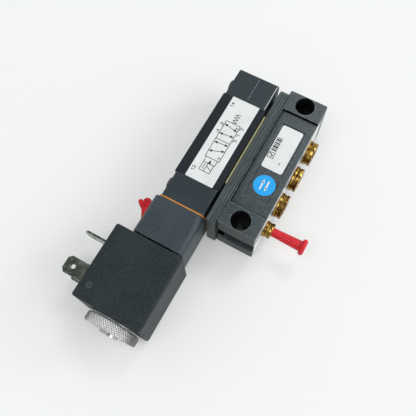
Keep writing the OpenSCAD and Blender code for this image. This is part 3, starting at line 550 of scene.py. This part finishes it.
SOFTENED = {
    0.45: ["coil_housing"],
    0.30: ["pilot_end_cap", "pilot_housing"],
    0.18: ["far_end_cap", "interface_plate", "valve_body", "manual_override"],
    0.12: ["nut_washer"],
    0.10: ["power_terminals", "ground_terminal", "valve_screws", "cap_screws", "pilot_screws"],
    0.06: ["port_cartridges", "small_cartridge", "collet_1", "collet_2", "collet_3", "small_collet"],
}
SHARP_ANGLE = math.radians(38)
FLAT_ANGLE = math.radians(0.5)
SAME_PLACE = 0.001 * MM      # vertices closer than this are joined
MERGED = ("coil_housing",)   # its triangles are merged into whole faces before rounding


def soften(node, width):
    """Rounds the sharp edges by width millimetres. The vertices that the import split are joined first."""
    piece = nodes[node]
    weld = piece.modifiers.new("join", "WELD")
    weld.merge_threshold = SAME_PLACE
    if node in MERGED:
        merge = piece.modifiers.new("merge", "DECIMATE")
        merge.decimate_type = "DISSOLVE"
        merge.angle_limit = FLAT_ANGLE
    bevel = piece.modifiers.new("round", "BEVEL")
    bevel.width = width * MM
    bevel.segments = 3
    bevel.limit_method = "ANGLE"
    bevel.angle_limit = SHARP_ANGLE
    bevel.harden_normals = True
    bevel.use_clamp_overlap = False


# ---- Printed graphics ----

INK_T = 0.03                 # thickness of printed ink
DIGIT_STROKES = {
    "1": [[(0.1, 0.75), (0.4, 1.0), (0.4, 0.0)]],
    "2": [[(0, 0.8), (0.2, 1), (0.5, 1), (0.7, 0.8), (0.7, 0.6), (0, 0), (0.7, 0)]],
    "3": [[(0, 1), (0.7, 1), (0.35, 0.6), (0.65, 0.45), (0.65, 0.15), (0.4, 0), (0, 0.05)]],
    "4": [[(0.5, 0), (0.5, 1), (0, 0.3), (0.7, 0.3)]],
    "5": [[(0.7, 1), (0.05, 1), (0, 0.55), (0.45, 0.6), (0.7, 0.35), (0.5, 0), (0, 0.05)]],
}


class Print:
    """Flat ink drawn on a face. u runs along the reading direction and w upwards, in millimetres."""

    def __init__(self, origin, reading, up):
        self.mesh = bmesh.new()
        self.u = Vector(reading)
        self.w = Vector(up)
        self.out = self.u.cross(self.w)
        self.origin = Vector(origin)

    def at(self, u, w, height):
        return self.origin + (self.u * u + self.w * w + self.out * height) * MM

    def fill(self, outline):
        """Closed flat solid over an outline given in order."""
        area = sum(a[0] * b[1] - a[1] * b[0] for a, b in zip(outline, outline[1:] + outline[:1]))
        if area < 0:
            outline = outline[::-1]
        low = [self.mesh.verts.new(self.at(u, w, 0)) for u, w in outline]
        high = [self.mesh.verts.new(self.at(u, w, INK_T)) for u, w in outline]
        self.mesh.faces.new(high)
        self.mesh.faces.new(low[::-1])
        count = len(outline)
        for i in range(count):
            j = (i + 1) % count
            self.mesh.faces.new((low[i], low[j], high[j], high[i]))

    def stroke(self, start, end, width):
        a, b = Vector(start), Vector(end)
        along = (b - a).normalized() * width / 2
        side = Vector((-along.y, along.x))
        a, b = a - along * 0.6, b + along * 0.6
        self.fill([a - side, b - side, b + side, a + side])

    def path(self, points, width):
        for start, end in zip(points, points[1:]):
            self.stroke(start, end, width)

    def frame(self, low, high, width):
        self.path([low, (high[0], low[1]), high, (low[0], high[1]), low], width)

    def arrow(self, start, end, width, head):
        a, b = Vector(start), Vector(end)
        along = (b - a).normalized()
        side = Vector((-along.y, along.x)) * head * 0.4
        self.stroke(a, b - along * head * 0.8, width)
        back = b - along * head
        self.fill([b, back + side, back - side])

    def digits(self, text, u, w, height, width):
        for k, digit in enumerate(text):
            for points in DIGIT_STROKES[digit]:
                self.path([(u + (k + x) * height * 0.95, w + y * height) for x, y in points], width)

    def piece(self, name, material, body="base", slot="label_white"):
        data = bpy.data.meshes.new(name)
        self.mesh.to_mesh(data)
        self.mesh.free()
        data.materials.append(material)
        made = bpy.data.objects.new(name, data)
        bpy.context.scene.collection.objects.link(made)
        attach(made, body)


def top_centre(node):
    low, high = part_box(node)
    return Vector(((low.x + high.x) / 2, (low.y + high.y) / 2, high.z))


ALONG_Y = (0, 1, 0)
ACROSS = (-1, 0, 0)
UPWARDS = (0, 0, 1)
LINE = 0.22                  # width of a printed line


def valve_symbol():
    """Standard symbol of a 5/2 valve: two squares of flow paths, a pilot solenoid and a return spring."""
    art = Print(top_centre("schematic_label") - Vector((0, 0.2 * MM, 0)), ALONG_Y, ACROSS)
    side = 8.0
    half = 2.8
    for left in (-side, 0):
        art.frame((left, -half), (left + side, half), LINE)
    # Flow paths in both directions.
    for start, end in (((3.0, -half), (2.4, half)), ((5.5, -half), (6.6, half)),
                       ((-3.5, -half), (-5.6, half)), ((-1.0, -half), (-1.5, half))):
        middle = ((start[0] + end[0]) / 2, 0)
        art.arrow(middle, end, LINE, 1.35)
        art.arrow(middle, start, LINE, 1.35)
    for u in (6.7, -6.7):
        art.stroke((u, -half), (u, -half + 1), LINE)
        art.stroke((u - 0.5, -half + 1), (u + 0.5, -half + 1), LINE)
    # Port connections on the resting square, and their numbers.
    for u, digit in ((2.4, "4"), (5.6, "2")):
        art.stroke((u, half), (u, half + 0.7), LINE)
        art.digits(digit, u + 0.35, half + 0.45, 1.0, 0.2)
    for u, digit in ((1.4, "5"), (4, "1"), (6.7, "3")):
        art.stroke((u, -half), (u, -half - 0.7), LINE)
        art.digits(digit, u + 0.35, -half - 1.5, 1.0, 0.2)
    # Solenoid and pilot stage at the coil's end.
    art.frame((-10.2, -2.2), (-side, 2.2), LINE)
    art.fill([(-10.2, 0.6), (-8.6, 0), (-10.2, -0.6)])
    art.frame((-13.6, -1.9), (-10.2, 0.4), LINE)
    art.stroke((-12.6, -1.9), (-11.2, 0.4), LINE)
    art.frame((-13.6, 0.4), (-10.2, 2.2), LINE)
    art.stroke((-13.0, 1.3), (-10.8, 1.3), LINE)
    # Return spring at the far end.
    zigzag = [(side + 0.6 * k, 0.9 * (-1) ** k) for k in range(8)]
    art.path([(side, 0.9)] + zigzag[1:], LINE)
    art.digits("12", -14.9, 3.6, 1.1, 0.2)
    art.digits("14", 14.0, 3.5, 1.1, 0.2)
    art.piece("symbol_print", BLACK_INK)


def sticker_print():
    """Generic inspection mark: a tick in a box beside a plain bar code."""
    art = Print(top_centre("test_sticker"), ALONG_Y, ACROSS)
    art.frame((-4.9, 1.5), (-2.7, 3.7), 0.22)
    art.path([(-4.4, 2.6), (-3.9, 2.0), (-3.1, 3.3)], 0.34)
    bar = -1.9
    for width, gap in (
        (0.5, 0.3), (0.25, 0.3), (0.7, 0.35), (0.3, 0.3), (0.5, 0.4), (0.25, 0.25), (0.6, 0.3), (0.3, 0)
    ):
        art.fill([(bar, 1.6), (bar + width, 1.6), (bar + width, 3.6), (bar, 3.6)])
        bar += width + gap
    art.stroke((-6.2, -1.6), (-5.2, -1.6), 0.16)
    art.stroke((-5.7, -1.6), (-5.7, -0.9), 0.16)
    art.piece("sticker_print", BLACK_INK)


def emblem_print():
    """Two plain arrows, one each way, on the blue disc."""
    art = Print(top_centre("emblem"), ALONG_Y, ACROSS)
    for turn in (1, -1):
        art.arrow((-1.9 * turn, 0.9 * turn), (2.1 * turn, 0.9 * turn), 0.55, 1.5)
    art.piece("emblem_print", WHITE_INK)


def port_print():
    """Port numbers under short bars on the strip round the fittings, and dashes at its near end."""
    low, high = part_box("port_label")
    middle = Vector((high.x, 0, (low.z + high.z) / 2))
    art = Print(middle, ALONG_Y, UPWARDS)
    for y, digit in ((-16.9, "4"), (-5.3, "1"), (6.6, "2")):
        art.digits(digit, y, 2.8, 3.4, 0.6)
        art.stroke((y - 0.1, 7.2), (y + 2.6, 7.2), 0.9)
    for k in range(6):
        art.stroke((-27.6 + k, 3.2), (-27.6 + k, 6.8), 0.6)
    art.piece("port_print", BLACK_INK)


def cap_lines():
    """Broken pale line along the mould's parting line across the top of the spring-side cap, its paleness a
    painted highlight, and a painted highlight along the cap's edge.
    """
    low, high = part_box("far_end_cap")
    art = Print((low.x + 8.7 * MM, 0, high.z), ALONG_Y, ACROSS)
    near = low.y / MM
    far = high.y / MM
    # Pale dashes along the mould's parting line: the line is real, its paleness a painted highlight.
    for k in range(9):
        dash = near + 3.15 + 1.1 * k
        art.stroke((dash, 0), (dash + 0.75, 0.02 * (k % 3 - 1)), 0.07)
    # Painted highlight along the cap's edge, drawn as a pale stroke.
    art.stroke((near + 2.35, -7.25), (far - 0.7, -7.25), 0.26)
    art.piece("cap_lines", HIGHLIGHT_PLASTIC, slot="cap_moulding")


def add_floor():
    data = bpy.data.meshes.new("floor")
    mesh = bmesh.new()
    bmesh.ops.create_grid(mesh, x_segments=4, y_segments=4, size=FLOOR_HALF)
    mesh.to_mesh(data)
    mesh.free()
    data.materials.append(pale_floor())
    floor = bpy.data.objects.new("floor", data)
    floor.location.z = cad_box[0][2] - FLOOR_GAP
    bpy.context.scene.collection.objects.link(floor)


add_camera()
add_world()
add_lamps()
add_floor()
dress_nodes()
for width, names in SOFTENED.items():
    for name in names:
        soften(name, width)
valve_symbol()
sticker_print()
emblem_print()
port_print()
cap_lines()
